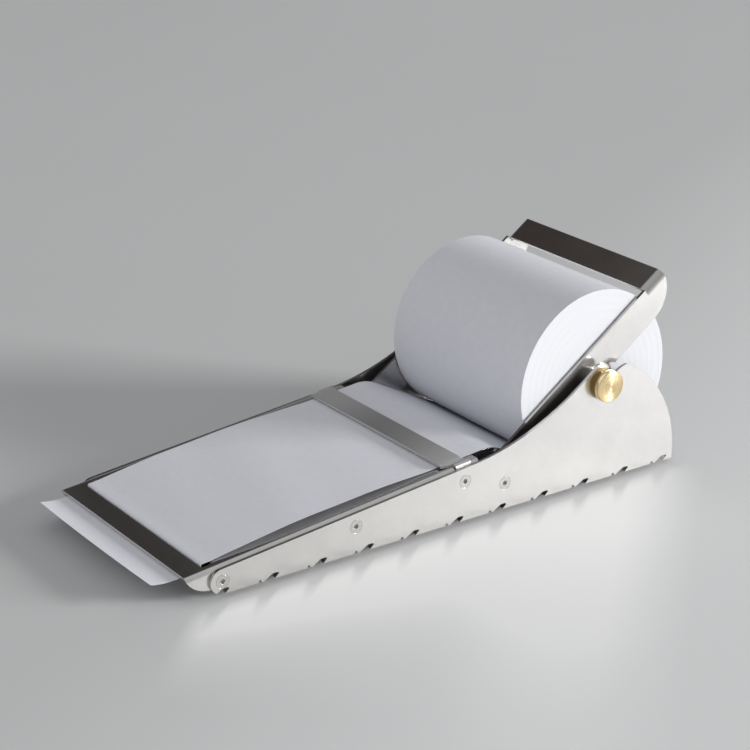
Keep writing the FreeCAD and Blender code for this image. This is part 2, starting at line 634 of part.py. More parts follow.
def make_bail():
    """Cross bar with two long arms, drawn with the pivot at the origin and the arms along +Y."""
    body = new_body("paper_bail")
    rise = size["bail_rise"]
    drop = size["bail_drop"]
    height = rise + drop
    reach = size["bail_reach"]
    heel = height / 2
    heel_centre = (0, rise - heel)
    round_from = reach - height
    swing = math.radians(size["bail_tilt"])
    dy = size["axle_y"] - size["pivot_y"]
    dz = size["axle_z"] - size["pivot_z"]
    axle_along = dy * math.cos(swing) + dz * math.sin(swing)
    axle_up = dz * math.cos(swing) - dy * math.sin(swing)
    notch_top = axle_up + size["axle_radius"] + size["running_play"]
    half = size["notch_half"]
    flare = size["notch_flare"]
    sketch = new_sketch(body, "arm_outline")
    first = add_outline(sketch, [
        ((0, rise), (0 - heel, heel_centre[1]), (0, -drop)),
        ((0, -drop), (axle_along - half - flare, -drop)),
        ((axle_along - half - flare, -drop), (axle_along - half, notch_top)),
        ((axle_along - half, notch_top), (axle_along + half, notch_top)),
        ((axle_along + half, notch_top), (axle_along + half + flare, -drop)),
        ((axle_along + half + flare, -drop), (round_from, -drop)),
        ((round_from, -drop), shifted((round_from, rise), height, -45), (reach, rise)),
        ((reach, rise), (0, rise)),
    ])
    fix_point(sketch, first + 7, 1, "sizes.bail_reach", "sizes.bail_rise")
    width = "sizes.body_width - 2 * sizes.shell_wall - 2 * sizes.bail_side_gap"
    extrude(body, "Pad", "arm_block", sketch, width)

    between = new_sketch(body, "between_arms")
    bar_from = reach - size["bail_bar"]
    low, high = -drop - heel, rise + heel
    under_bar = rise - size["bail_wall"]
    add_outline(between, polygon([(-2 * heel, low), (reach + heel, low), (reach + heel, under_bar),
                                  (bar_from, under_bar), (bar_from, high), (-2 * heel, high)]))
    gap = cut(body, "arm_gap", between, width + " - 2 * sizes.bail_wall")
    inside = body.newObject("PartDesign::Fillet", "inner_bends")
    corners = []
    for number, edge in enumerate(gap.Shape.Edges, start=1):
        middle = edge.CenterOfMass
        on_arm = abs(abs(middle.x) - bail_half + size["bail_wall"]) < 0.01
        if on_arm and abs(middle.z - under_bar) < 0.01 and edge.BoundBox.YLength > 1:
            corners.append("Edge%d" % number)
    inside.Base = (gap, corners)
    bind(inside, "Radius", "sizes.bail_bend - sizes.bail_wall")
    doc.recompute()

    bends = new_sketch(body, "bar_bends", "XZ_Plane")
    bends.AttachmentOffset = Placement(Vector(0, 0, -bar_from), Rotation())
    radius = size["bail_bend"]
    for side in (-1, 1):
        corner = (side * bail_half, rise)
        inward = side * (bail_half - radius)
        middle = (inward + side * radius * math.cos(math.pi / 4), rise - radius + radius * math.sin(math.pi / 4))
        add_outline(bends, [(corner, (inward, rise)), ((inward, rise), middle, (side * bail_half, rise - radius)),
                            ((side * bail_half, rise - radius), corner)])
    cut(body, "bar_bend_rounds", bends, "sizes.bail_bar + sizes.bail_wall", "One side")

    bore = new_sketch(body, "pivot_bore")
    radius = size["screw_radius"] + size["running_play"]
    bore.addGeometry(Part.Circle(Vector(0, 0, 0), Vector(0, 0, 1), radius))
    bore.addConstraint(Sketcher.Constraint("Coincident", 0, 3, -1, 1))
    fix_radius(bore, 0, radius, "sizes.screw_radius + sizes.running_play")
    cut(body, "pivot_holes", bore)
    body.Placement = Placement(Vector(0, 0, 0), Rotation(Vector(1, 0, 0), size["bail_tilt"]))
    place(body, "0", "sizes.pivot_y", "sizes.pivot_z")
    bind(body, "Placement.Rotation.Angle", "sizes.bail_tilt * 1 deg")
    return body


# ------------------------------------------------------------- fasteners

def make_screw(label, sign, station, length):
    """Countersunk screw: local Z points out of the head."""
    head = size["head_radius"]
    shank = size["screw_radius"]
    tip = size["screw_tip"]
    body = turned(label, [(0, 0), (head, 0), (shank, -size["head_depth"]), (shank, tip - length),
                          (shank - tip, -length), (0, -length)], Vector(0, 1, 0), 90 * sign)
    drive = new_sketch(body, label + "_drive", "XY_Plane")
    add_outline(drive, polygon([polar(size["drive_radius"], 60 * k) for k in range(6)]))
    cut(body, label + "_socket", drive, "sizes.drive_depth", "One side")
    y_alias, z_alias = STATIONS[station]
    place(body, "%d * sizes.body_width / 2" % sign, "sizes." + y_alias, "sizes." + z_alias)
    return body


def make_hex_nut(label, sign, station, seat, seat_formula):
    """Hexagon nut whose outer face sits at a distance from the middle plane."""
    body = new_body(label)
    sketch = new_sketch(body, label + "_outline")
    add_outline(sketch, polygon([polar(size["hex_radius"], 60 * k) for k in range(6)]))
    hole = sketch.addGeometry(Part.Circle(Vector(0, 0, 0), Vector(0, 0, 1), size["screw_radius"] + size["press_play"]))
    sketch.addConstraint(Sketcher.Constraint("Coincident", hole, 3, -1, 1))
    extrude(body, "Pad", label + "_pad", sketch, "sizes.hex_height", "One side", sign > 0)
    y_alias, z_alias = STATIONS[station]
    place(body, "%d * (%s)" % (sign, seat_formula), "sizes." + y_alias, "sizes." + z_alias)
    return body


def make_fasteners():
    inner = "sizes.body_width / 2 - sizes.shell_wall"
    flange = inner + " - sizes.tray_side_gap - sizes.tray_wall"
    tab = inner + " - sizes.tray_side_gap - sizes.hold_wall"
    arm = inner + " - sizes.bail_side_gap - sizes.bail_wall - sizes.face_gap"
    seats = {
        "nose": (tray_half - size["tray_wall"], flange),
        "tray": (tray_half - size["tray_wall"], flange),
        "hold": (tray_half - size["hold_wall"], tab),
        "pivot": (bail_half - size["bail_wall"] - size["face_gap"], arm),
    }
    for side, sign in (("right", 1), ("left", -1)):
        for station, (seat, formula) in seats.items():
            length = half_width - seat + size["hex_height"] + size["screw_proud"]
            make_screw(station + "_screw_" + side, sign, station, length)
            make_hex_nut(station + "_nut_" + side, sign, station, seat, formula)


def make_ring(label, outer, bore, length):
    """Plain ring about its own Z axis, starting at its own origin."""
    return turned(label, [(bore, 0), (outer, 0), (outer, length), (bore, length)], Vector(0, 1, 0), 90)


def make_pivot_spacers():
    length = size["bail_side_gap"] - 2 * size["face_gap"]
    for side, sign in (("right", 1), ("left", -1)):
        bore = size["screw_radius"] + size["spacer_play"]
        body = make_ring("pivot_spacer_" + side, size["spacer_radius"], bore, length)
        inner = "sizes.body_width / 2 - sizes.shell_wall - sizes.face_gap"
        start = inner + " - (sizes.bail_side_gap - 2 * sizes.face_gap)" if sign > 0 else inner
        place(body, "%d * (%s)" % (sign, start), "sizes.pivot_y", "sizes.pivot_z")


# -------------------------------------------------------- axle and roll

def make_axle():
    rod = doc.addObject("Part::Cylinder", "axle_rod")
    rod.Label = "axle_rod"
    bind(rod, "Radius", "sizes.axle_radius")
    bind(rod, "Height", "sizes.body_width + 2 * sizes.axle_overhang")
    rod.Placement = Placement(Vector(0, 0, 0), Rotation(Vector(0, 1, 0), 90))
    place(rod, "-sizes.body_width / 2 - sizes.axle_overhang", "sizes.axle_y", "sizes.axle_z")

    collar_length = size["bail_side_gap"] - size["collar_play"]
    bore = size["axle_radius"] + size["running_play"]
    for side, sign in (("right", 1), ("left", -1)):
        collar_bore = size["axle_radius"] + size["press_play"]
        collar = make_ring("axle_collar_" + side, size["collar_radius"], collar_bore, collar_length)
        inner = "sizes.body_width / 2 - sizes.shell_wall"
        start = inner + " - (sizes.bail_side_gap - sizes.collar_play)" if sign > 0 else inner
        place(collar, "%d * (%s)" % (sign, start), "sizes.axle_y", "sizes.axle_z")

        radius = size["nut_radius"]
        length = size["nut_length"]
        chamfer = size["nut_chamfer"]
        lead = size["nut_lead"]
        depth = size["axle_overhang"] + lead
        neck = size["neck_length"]
        nut = turned("thumb_nut_" + side, [(bore, 0), (size["neck_radius"], 0), (size["neck_radius"], neck),
                                           (radius - lead, neck), (radius, neck + lead), (radius, length - chamfer),
                                           (radius - chamfer, length), (0, length), (0, depth), (bore, depth)],
                     Vector(0, 1, 0), 90 * sign)
        place(nut, "%d * (sizes.body_width / 2 + sizes.face_gap)" % sign, "sizes.axle_y", "sizes.axle_z")


def make_roll():
    core_bore = size["core_radius"] - size["core_wall"]
    width = size["roll_width"]
    paper = make_ring("paper_roll", size["roll_radius"], size["core_radius"] + size["winding_play"], width)
    place(paper, "-sizes.roll_width / 2", "sizes.axle_y", "sizes.axle_z")
    core = make_ring("roll_core", size["core_radius"], core_bore, width)
    place(core, "-sizes.roll_width / 2", "sizes.axle_y", "sizes.axle_z")
    for side, start in (("right", "sizes.roll_width / 2 - sizes.bush_length"), ("left", "-sizes.roll_width / 2")):
        bush = make_ring("core_bush_" + side, core_bore - size["winding_play"],
                         size["axle_radius"] + size["running_play"], size["bush_length"])
        place(bush, start, "sizes.axle_y", "sizes.axle_z")


# ------------------------------------------------------------- paper web

def web_path():
    """Centre line of the loose paper: a list of (length, turn) with its start point and heading.

    It starts at the free end, passes under the tear bar, comes up through the exit, arches
    over the tray, goes under the hold-down bar and over the guide, and meets the full roll
    from below along the common tangent of the guide's circle and the roll's circle.
    """
    half_sheet = size["web_sheet"] / 2
    under_bar = size["tray_wall"] + size["face_gap"] + half_sheet
    front = below_tray(size["bar_front"], under_bar)
    curl = size["tail_curl"]
    tail = size["tail_length"]
    tail_radius = tail / math.radians(curl)
    tail_centre = shifted(front, tail_radius, pitch + 90)
    start = shifted(tail_centre, tail_radius, pitch - curl - 90)
    rise = under_bar + size["web_float"]
    climb_run = size["web_climb"]
    bend = 2 * math.atan(rise / climb_run)
    climb_arc = climb_run / (2 * math.sin(bend)) * bend
    cosine = math.cos(math.radians(pitch))
    bar_run = size["bar_depth"] / cosine + size["web_lead"]
    arch = size["web_arch"]
    arch_from = size["bar_front"] + (bar_run + climb_run) * cosine
    arch_to = size["hold_front"]
    ease = size["web_ease"]
    stretch = math.radians(arch) / math.sin(math.radians(arch))
    arch_run = (arch_to - arch_from) / cosine * stretch - 2 * ease
    lift = size["guide_radius"] + size["web_float"]
    bend_from = (size["guide_bend_y"], tray_height(size["guide_bend_y"]))
    centre = shifted(bend_from, size["guide_radius"], pitch - 90)
    under = size["roll_radius"] + size["web_gap"] + half_sheet
    span = math.dist(centre, axle)
    lean = math.degrees(math.atan2(axle[1] - centre[1], axle[0] - centre[0]))
    heading = lean - math.degrees(math.asin((lift + under) / span))
    over = lift * math.radians(pitch - heading)
    last = math.sqrt(span ** 2 - (lift + under) ** 2)
    flat_run = (size["guide_bend_y"] - arch_to) / cosine
    segments = [
        (tail, curl), (bar_run, 0.0),
        (climb_arc, math.degrees(bend)), (climb_arc, -math.degrees(bend)),
        (ease, arch), (arch_run, -2 * arch), (ease, arch),
        (flat_run, 0.0), (over, heading - pitch), (last, 0.0),
        (under * math.radians(size["web_wrap"]), size["web_wrap"]),
    ]
    return start, pitch - curl, segments


def make_web():
    """Strip of paper: the centre line offset to both sides."""
    body = new_body("paper_web")
    point, heading, segments = web_path()
    half_sheet = size["web_sheet"] / 2
    upper = []
    lower = []
    for length, turn in segments:
        if turn == 0.0:
            mid = None
            end = shifted(point, length, heading)
        else:
            radius = length / math.radians(turn)
            centre = shifted(point, radius, heading + 90)
            mid = shifted(centre, radius, heading + turn / 2 - 90)
            end = shifted(centre, radius, heading + turn - 90)
        for rail, side in ((upper, 90), (lower, -90)):
            a = shifted(point, half_sheet, heading + side)
            b = shifted(end, half_sheet, heading + turn + side)
            if mid is None:
                rail.append((a, b))
            else:
                rail.append((a, shifted(mid, half_sheet, heading + turn / 2 + side), b))
        point = end
        heading += turn
    back = [tuple(reversed(edge)) for edge in reversed(lower)]
    outline = upper + [(upper[-1][-1], back[0][0])] + back + [(back[-1][-1], upper[0][0])]
    sketch = new_sketch(body, "web_outline")
    add_outline(sketch, outline)
    extrude(body, "Pad", "web_strip", sketch, "sizes.roll_width")
    place(body)
    return body


# ------------------------------------------------------------------ build

make_shell()
make_mat()
make_tray()
make_hold_down_bar()
make_bail()
make_fasteners()
make_pivot_spacers()
make_axle()
make_roll()
make_web()
doc.recompute()

for item in doc.Objects:
    if "Invalid" in item.State or "Error" in item.State:
        raise ValueError("%s failed: %s" % (item.Label, item.State))

os.makedirs("parts", exist_ok=True)
written = []
for item in doc.Objects:
    if item.TypeId not in ("PartDesign::Body", "Part::Cylinder"):
        continue
    if item.Shape.isNull() or not item.Shape.isValid():
        raise ValueError(item.Label + " has no valid shape")
    item.Shape.exportStep("parts/%s.step" % item.Label)
    written.append(item.Label)
    box = item.Shape.BoundBox
    print("%-22s %6.1f..%6.1f %6.1f..%6.1f %6.1f..%6.1f  %9.1f mm3  solids %d" % (
        item.Label, box.XMin, box.XMax, box.YMin, box.YMax, box.ZMin, box.ZMax,
        item.Shape.Volume, len(item.Shape.Solids)))
print(len(written), "nodes")
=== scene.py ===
import json
import math

import bmesh
import bpy
import numpy as np
from mathutils import Matrix


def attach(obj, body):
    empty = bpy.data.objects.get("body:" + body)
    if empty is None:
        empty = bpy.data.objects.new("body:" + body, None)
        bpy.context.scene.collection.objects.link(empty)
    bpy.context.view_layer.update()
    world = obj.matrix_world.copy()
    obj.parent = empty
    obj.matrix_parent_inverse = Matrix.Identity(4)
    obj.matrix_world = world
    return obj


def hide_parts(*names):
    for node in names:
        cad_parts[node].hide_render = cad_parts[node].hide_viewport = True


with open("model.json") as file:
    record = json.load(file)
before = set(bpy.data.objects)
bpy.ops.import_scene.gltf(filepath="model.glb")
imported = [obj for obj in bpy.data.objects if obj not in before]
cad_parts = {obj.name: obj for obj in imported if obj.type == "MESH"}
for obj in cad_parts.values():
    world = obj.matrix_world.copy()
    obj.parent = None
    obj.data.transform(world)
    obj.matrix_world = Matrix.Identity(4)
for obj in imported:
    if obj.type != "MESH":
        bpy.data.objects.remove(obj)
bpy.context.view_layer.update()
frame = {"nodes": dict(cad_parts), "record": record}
nodes = frame["nodes"]

# Desktop note-roll dispenser. Sizes are in millimetres, angles in degrees and mesh vertices in metres.
# X runs across the device, the paper leaves towards -Y, Z is up.

PITCH = 6.3                      # slope of the writing surface
TRAY_STEP = 0.65                 # writing surface above the side plates' edge
BASE = 2.0                       # underside of the base above the table
NOSE = (-100.1, BASE + 4.7)      # nose axis (Y, Z)
AXLE = (67.9, BASE + 39.1)       # axle axis (Y, Z)
BORE_RADIUS = 2.06               # hole over the axle rod
HALF_BODY = 45.75                # outer face of a side plate (X)
BAR_FRONT = -113.6               # front edge of the tear bar (Y)
BAR_DEPTH = 8.1                  # tear bar from front to back
HOLD_FRONT = -5.4                # front edge of the hold-down bar (Y)
GUIDE_BEND = 14.5                # start of the curved guide (Y)
GUIDE_RADIUS = 16.0

ROLL_WIDTH = 79.5
ROLL_RADIUS = 35.1
CORE_RADIUS = 8.75               # outside of the cardboard core
CORE_PLAY = 0.03                 # paper to core

TAIL = 11.0                      # paper ahead of the tear bar
TAIL_CURL = 15.0                 # curl of that paper
PAPER_DEPTH = 1.45               # paper under the tear bar, below the writing surface
PAPER_FLOAT = 0.35               # paper above the writing surface and the guide
PAPER_GAP = 0.45                 # middle of the paper to the full roll
PAPER_LEAD = 0.1                 # start of the rise through the exit, behind the tear bar
PAPER_CLIMB = 1.0                # run of that rise
PAPER_THICKNESS = 0.05
ARCH_SLOPE = 3.7                 # slope of the arched paper at its ends
ARCH_EASE = 7.0                  # length over which it turns flat at each end
WRAP = 14.0                      # paper that hugs the roll

FACE_GAP = 0.1                   # thumb nut to the side plate
KNOB_RADIUS = 6.2
KNOB_LENGTH = 3.8                # thumb nut with its neck
KNOB_BORE = 3.2                  # depth of its blind bore
NECK_RADIUS = 4.2
NECK_LENGTH = 1.4
GROOVE_PLACE = 2.3               # middle of the knob's groove from its inner end
GROOVE_DEPTH = 0.12

SHEET_ROUNDING = 0.16            # edges of the folded stand, tray and bail
BAR_ROUNDING = 0.15              # edges of the hold-down bar
SCREW_ROUNDING = 0.1
SAME_POINT = 0.002               # points of a solid's mesh nearer than this are one
SAME_FACE = 0.6                  # facets that meet at a smaller angle are one face
ROUNDED_ABOVE = 32               # edges with a larger angle are rounded

CAMERA_PLACE = (0.586993, -0.429898, 0.328589)    # metres
CAMERA_ANGLES = (54.094, 21.322, -0.732)          # turn from the front, height and roll
CAMERA_LENS = 100.739

WINDOW_DIRECTION = (0.69, 0.72, 0.26)
WINDOW_DISTANCE = 8.0            # metres
WINDOW_SIZE = (2.3, 1.8)         # metres
WINDOW_POWER = 580.0             # watts
WINDOW_AIM = (0, 0, 0.03)        # metres
DOORWAY_DIRECTION = (-0.79, 0.00, 0.61)


# ------------------------------------------------------- camera and placing

def level_axes(back):
    """Right-hand and upward axes of a camera or lamp that is held level, with its back along a unit vector."""
    right = np.cross([0, 0, 1.0], back)
    right /= np.linalg.norm(right)
    return right, np.cross(back, right)


def placed_at(right, up, back, place):
    """Transform with the given X, Y and Z axes and origin."""
    matrix = Matrix.Identity(4)
    for column, axis in enumerate((right, up, back, place)):
        for row in range(3):
            matrix[row][column] = axis[row]
    return matrix


def add_to_scene(name, data):
    """New object at the origin that shows a mesh, lamp or camera."""
    thing = bpy.data.objects.new(name, data)
    bpy.context.scene.collection.objects.link(thing)
    return thing


def place_camera():
    """Camera from its turn round the device away from the front, its height angle and its own roll."""
    turn, height, roll = np.radians(CAMERA_ANGLES)
    back = np.array([np.sin(turn) * np.cos(height), -np.cos(turn) * np.cos(height), np.sin(height)])
    right, up = level_axes(back)
    rolled_right = np.cos(roll) * right - np.sin(roll) * up
    rolled_up = np.sin(roll) * right + np.cos(roll) * up
    camera = add_to_scene("camera", bpy.data.cameras.new("camera"))
    camera.data.sensor_width = 36.0
    camera.data.lens = CAMERA_LENS
    camera.data.clip_end = 20
    camera.matrix_world = placed_at(rolled_right, rolled_up, back, CAMERA_PLACE)
    bpy.context.scene.camera = camera


# ------------------------------------------------------------ shader nodes

def give(tree, node, **values):
    """Fill a node's inputs with numbers, tuples or other nodes' outputs. i0 is its first input, i1 the next."""
    for key, value in values.items():
        numbered = key[0] == "i" and key[1:].isdigit()
        socket = node.inputs[int(key[1:]) if numbered else key.replace("_", " ")]
        if isinstance(value, bpy.types.NodeSocket):
            tree.links.new(value, socket)
        else:
            socket.default_value = value


def add(tree, kind, settings=None, **inputs):
    """New node with its settings and inputs."""
    node = tree.nodes.new(kind)
    for key, value in (settings or {}).items():
        setattr(node, key, value)
    give(tree, node, **inputs)
    return node


def maths(tree, operation, a, b=0.0, c=0.0):
    """Number that a Math node gives."""
    return add(tree, "ShaderNodeMath", {"operation": operation}, i0=a, i1=b, i2=c).outputs[0]


def vector_maths(tree, operation, a, b=(0, 0, 0)):
    """Vector that a Vector Math node gives, or its number for a length or a dot product."""
    node = add(tree, "ShaderNodeVectorMath", {"operation": operation}, i0=a, i1=b)
    return node.outputs["Value" if operation in ("LENGTH", "DOT_PRODUCT") else "Vector"]


def noise(tree, settings=None, **inputs):
    """Number that a noise texture gives."""
    return add(tree, "ShaderNodeTexNoise", settings, **inputs).outputs[0]


def bump(tree, strength, distance, height):
    """Normal that a height gives."""
    return add(tree, "ShaderNodeBump", Strength=strength, Distance=distance, Height=height).outputs[0]


def level(tree, factor, low, high, start=0.3, end=0.7):
    """Number between low and high as factor goes from start to end."""
    return add(tree, "ShaderNodeMapRange", i0=factor, i1=start, i2=end, i3=low, i4=high).outputs[0]


def eased(tree, factor, start, end, high=1.0):
    """Number that eases from 0 to high as factor goes from start to end."""
    return add(tree, "ShaderNodeMapRange", {"interpolation_type": "SMOOTHSTEP"}, i0=factor, i1=start, i2=end,
               i3=0.0, i4=high).outputs[0]


def shade_between(tree, factor, low, high):
    """Colour between low and high."""
    return add(tree, "ShaderNodeMix", {"data_type": "RGBA"}, i0=factor, i6=(*low, 1), i7=(*high, 1)).outputs[2]


# ------------------------------------------------------------- node groups

def new_group(name, inputs, outputs):
    """Empty shader node group. inputs: {name: (kind, default)}, outputs: {name: kind}."""
    group = bpy.data.node_groups.new(name, "ShaderNodeTree")
    kinds = {"number": "NodeSocketFloat", "vector": "NodeSocketVector"}
    for label, (kind, default) in inputs.items():
        socket = group.interface.new_socket(name=label, in_out="INPUT", socket_type=kinds[kind])
        socket.default_value = default
    for label, kind in outputs.items():
        group.interface.new_socket(name=label, in_out="OUTPUT", socket_type=kinds[kind])
    return group, group.nodes.new("NodeGroupInput").outputs, group.nodes.new("NodeGroupOutput")


def use_group(tree, group, **inputs):
    """Outputs of a node group that is placed in a material with its own values."""
    return add(tree, "ShaderNodeGroup", {"node_tree": group}, **inputs).outputs


def make_grain_group():
    """Satin sheet: fine drawn grain along one axis with its relief, and cloudy rubbing marks."""
    group, into, out = new_group(
        "satin_grain",
        {"Vector": ("vector", (0, 0, 0)), "Grain Scale": ("number", 3000.0), "Stretch": ("vector", (1, 0.4, 1)),
         "Cloud Scale": ("number", 60.0), "Relief": ("number", 0.02), "Distance": ("number", 0.00002)},
        {"Grain": "number", "Cloud": "number", "Normal": "vector"})
    drawn = vector_maths(group, "MULTIPLY", into["Vector"], into["Stretch"])
    grain = noise(group, Vector=drawn, Scale=into["Grain Scale"], Detail=3.0, Roughness=0.6)
    cloud = noise(group, Vector=into["Vector"], Scale=into["Cloud Scale"], Detail=4.0, Roughness=0.62)
    give(group, out, Grain=grain, Cloud=cloud, Normal=bump(group, into["Relief"], into["Distance"], grain))
    return group


def square_to_axis(group, into):
    """Offset of a point from the group's Centre, whole and with its X part taken out."""
    offset = vector_maths(group, "SUBTRACT", into["Vector"], into["Centre"])
    return offset, vector_maths(group, "MULTIPLY", offset, (0, 1, 1))


def make_ring_group():
    """Concentric lines round an axis parallel to X: turned metal, or the edges of wound paper."""
    group, into, out = new_group(
        "rings_round_x",
        {"Vector": ("vector", (0, 0, 0)), "Centre": ("vector", (0, 0, 0)), "Pitch": ("number", 0.0003),
         "Wobble": ("number", 0.4), "Relief": ("number", 0.2), "Distance": ("number", 0.00003)},
        {"Line": "number", "Band": "number", "Normal": "vector"})
    offset, flat = square_to_axis(group, into)
    steps = maths(group, "DIVIDE", vector_maths(group, "LENGTH", flat), into["Pitch"])
    drift = noise(group, Vector=offset, Scale=90.0, Detail=2.0)
    moved = maths(group, "MULTIPLY_ADD", drift, into["Wobble"], steps)
    line = noise(group, {"noise_dimensions": "1D"}, W=moved, Scale=1.0, Detail=2.0)
    slow = maths(group, "MULTIPLY", moved, 0.07)
    band = noise(group, {"noise_dimensions": "1D"}, W=slow, Scale=1.0, Detail=3.0)
    give(group, out, Line=line, Band=band, Normal=bump(group, into["Relief"], into["Distance"], line))
    return group


def make_turned_group():
    """Tool lines of a faced end: each spot's normal leans towards or away from the X axis by chance."""
    group, into, out = new_group(
        "turned_face", {"Vector": ("vector", (0, 0, 0)), "Centre": ("vector", (0, 0, 0)),
                        "Lean": ("number", 0.3)},
        {"Normal": "vector"})
    radial = vector_maths(group, "NORMALIZE", square_to_axis(group, into)[1])
    chance = add(group, "ShaderNodeTexWhiteNoise", {"noise_dimensions": "3D"}, Vector=into["Vector"])
    either_way = maths(group, "MULTIPLY_ADD", chance.outputs["Value"], 2.0, -1.0)
    lean = add(group, "ShaderNodeVectorMath", {"operation": "SCALE"}, i0=radial,
               Scale=maths(group, "MULTIPLY", either_way, into["Lean"])).outputs[0]
    face = group.nodes.new("ShaderNodeNewGeometry").outputs["Normal"]
    give(group, out, Normal=vector_maths(group, "NORMALIZE", vector_maths(group, "ADD", face, lean)))
    return group


def make_painted_throw_group():
    """Painted light: mask of the window light that the right side plate throws on the table, which the table
    shows as a glow. All its lengths are in metres.

    A table point at a distance d from the plate's plane gets it from the plate point at height 0.377 d and
    y + 1.043 d. It is lit while that point lies between the plate's lower edge, with its fold cut-outs, and
    the upper edge. The edges grow softer and the light weaker with d.
    """
    group, into, out = new_group("painted_plate_throw", {"Vector": ("vector", (0, 0, 0)), "Side": ("number", 0.0458)},
                                 {"Mask": "number"})
    place = add(group, "ShaderNodeSeparateXYZ", Vector=into["Vector"]).outputs
    away = maths(group, "SUBTRACT", place["X"], into["Side"])
    along = maths(group, "MULTIPLY_ADD", away, 1.043, place["Y"])
    height = maths(group, "MULTIPLY", away, 0.377)

    slope = maths(group, "MULTIPLY_ADD", along, 0.11, 0.021)
    hump = eased(group, along, 0.0, 0.075, 0.022)
    below_upper = maths(group, "SUBTRACT", maths(group, "ADD", slope, hump), height)
    upper_blur = maths(group, "MULTIPLY_ADD", away, 0.16, 0.0005)

    from_cutout = maths(group, "PINGPONG", maths(group, "ADD", along, 0.1004), 0.01)
    lower = level(group, from_cutout, 0.0040, 0.002, 0.0014, 0.0044)
    above_lower = maths(group, "SUBTRACT", height, lower)
    lower_blur = maths(group, "MULTIPLY_ADD", away, 0.13, 0.0004)

    mask = level(group, maths(group, "DIVIDE", below_upper, upper_blur), 0, 1, -1, 1)
    for share in (level(group, maths(group, "DIVIDE", above_lower, lower_blur), 0, 1, -1, 1),
                  level(group, along, 0, 1, -0.112, -0.100),
                  level(group, along, 1, 0, 0.085, 0.125),
                  level(group, away, 1, 0.35, 0.01, 0.13)):
        mask = maths(group, "MULTIPLY", mask, share)
    give(group, out, Mask=mask)
    return group


# --------------------------------------------------------------- materials

def new_material(name):
    """Empty material with its node tree, its shader and the Object coordinates."""
    material = bpy.data.materials.new(name)
    material.use_nodes = True
    tree = material.node_tree
    shader = next(node for node in tree.nodes if node.type == "BSDF_PRINCIPLED")
    position = tree.nodes.new("ShaderNodeTexCoord").outputs["Object"]
    return material, tree, shader, position


def steel(name, low, high, smooth, rough, grain_scale=3000.0, stretch=(1, 0.4, 1), relief=0.02):
    """Satin stainless steel: cloudy rubbing marks in the tone, fine grain, and a thin polished skin over it."""
    material, tree, shader, position = new_material(name)
    grain = use_group(tree, GRAIN, Vector=position, Grain_Scale=grain_scale, Stretch=stretch, Relief=relief)
    mottle = maths(tree, "MULTIPLY_ADD", grain["Grain"], 0.2, maths(tree, "MULTIPLY", grain["Cloud"], 0.8))
    give(tree, shader,
         Base_Color=shade_between(tree, level(tree, mottle, 0, 1, 0.35, 0.65), low, high),
         Roughness=level(tree, grain["Grain"], smooth, rough),
         Normal=grain["Normal"],
         Metallic=1.0, Coat_Weight=1.0, Coat_IOR=2.8, Coat_Roughness=0.12)
    return material


def brass():
    """Turned brass with fine tool lines round the axle."""
    material, tree, shader, position = new_material("turned_brass")
    rings = use_group(tree, RINGS, Vector=position, Centre=AXLE_CENTRE, Pitch=0.00016, Wobble=0.2)
    faced = use_group(tree, TURNING, Vector=position, Centre=AXLE_CENTRE, Lean=0.42)
    line = level(tree, rings["Line"], 0, 1)
    give(tree, shader,
         Base_Color=shade_between(tree, line, (0.83, 0.62, 0.31), (0.95, 0.77, 0.46)),
         Roughness=level(tree, rings["Band"], 0.18, 0.30),
         Normal=faced["Normal"],
         Metallic=1.0)
    return material


def paper():
    """Smooth coated paper with a faint fibre cloud."""
    material, tree, shader, position = new_material("till_paper")
    cloud = noise(tree, Vector=position, Scale=320.0, Detail=5.0, Roughness=0.7)
    give(tree, shader,
         Base_Color=shade_between(tree, level(tree, cloud, 0, 1), (0.80, 0.81, 0.86), (0.84, 0.85, 0.90)),
         Roughness=level(tree, cloud, 0.55, 0.7),
         Normal=bump(tree, 0.08, 0.00002, cloud),
         Specular_IOR_Level=0.35)
    return material


def wound_paper():
    """End of the roll: the edges of the wound layers show as faint rings."""
    material, tree, shader, position = new_material("wound_paper_edge")
    rings = use_group(tree, RINGS, Vector=position, Centre=AXLE_CENTRE, Pitch=0.00022, Wobble=0.5)
    tone = maths(tree, "MULTIPLY_ADD", rings["Line"], 0.55, maths(tree, "MULTIPLY", rings["Band"], 0.45))
    layers = level(tree, tone, 0, 1, 0.3, 0.6)
    give(tree, shader,
         Base_Color=shade_between(tree, layers, (0.80, 0.81, 0.845), (0.825, 0.835, 0.865)),
         Normal=rings["Normal"],
         Roughness=0.8, Specular_IOR_Level=0.25)
    return material


def card():
    """Grey-brown cardboard with short fibres."""
    material, tree, shader, position = new_material("core_card")
    fibre = noise(tree, Vector=position, Scale=1400.0, Detail=4.0, Roughness=0.7)
    give(tree, shader,
         Base_Color=shade_between(tree, level(tree, fibre, 0, 1), (0.36, 0.27, 0.19), (0.52, 0.42, 0.31)),
         Normal=bump(tree, 0.3, 0.00005, fibre),
         Roughness=0.85)
    return material


def moulded(name):
    """Dark moulded plastic or rubber with a fine spark-eroded texture."""
    material, tree, shader, position = new_material(name)
    grain = noise(tree, Vector=position, Scale=4000.0, Detail=2.0)
    dark = level(tree, grain, 0, 1)
    give(tree, shader,
         Base_Color=shade_between(tree, dark, (0.025, 0.025, 0.028), (0.045, 0.045, 0.05)),
         Roughness=level(tree, grain, 0.42, 0.6),
         Normal=bump(tree, 0.2, 0.00003, grain))
    return material


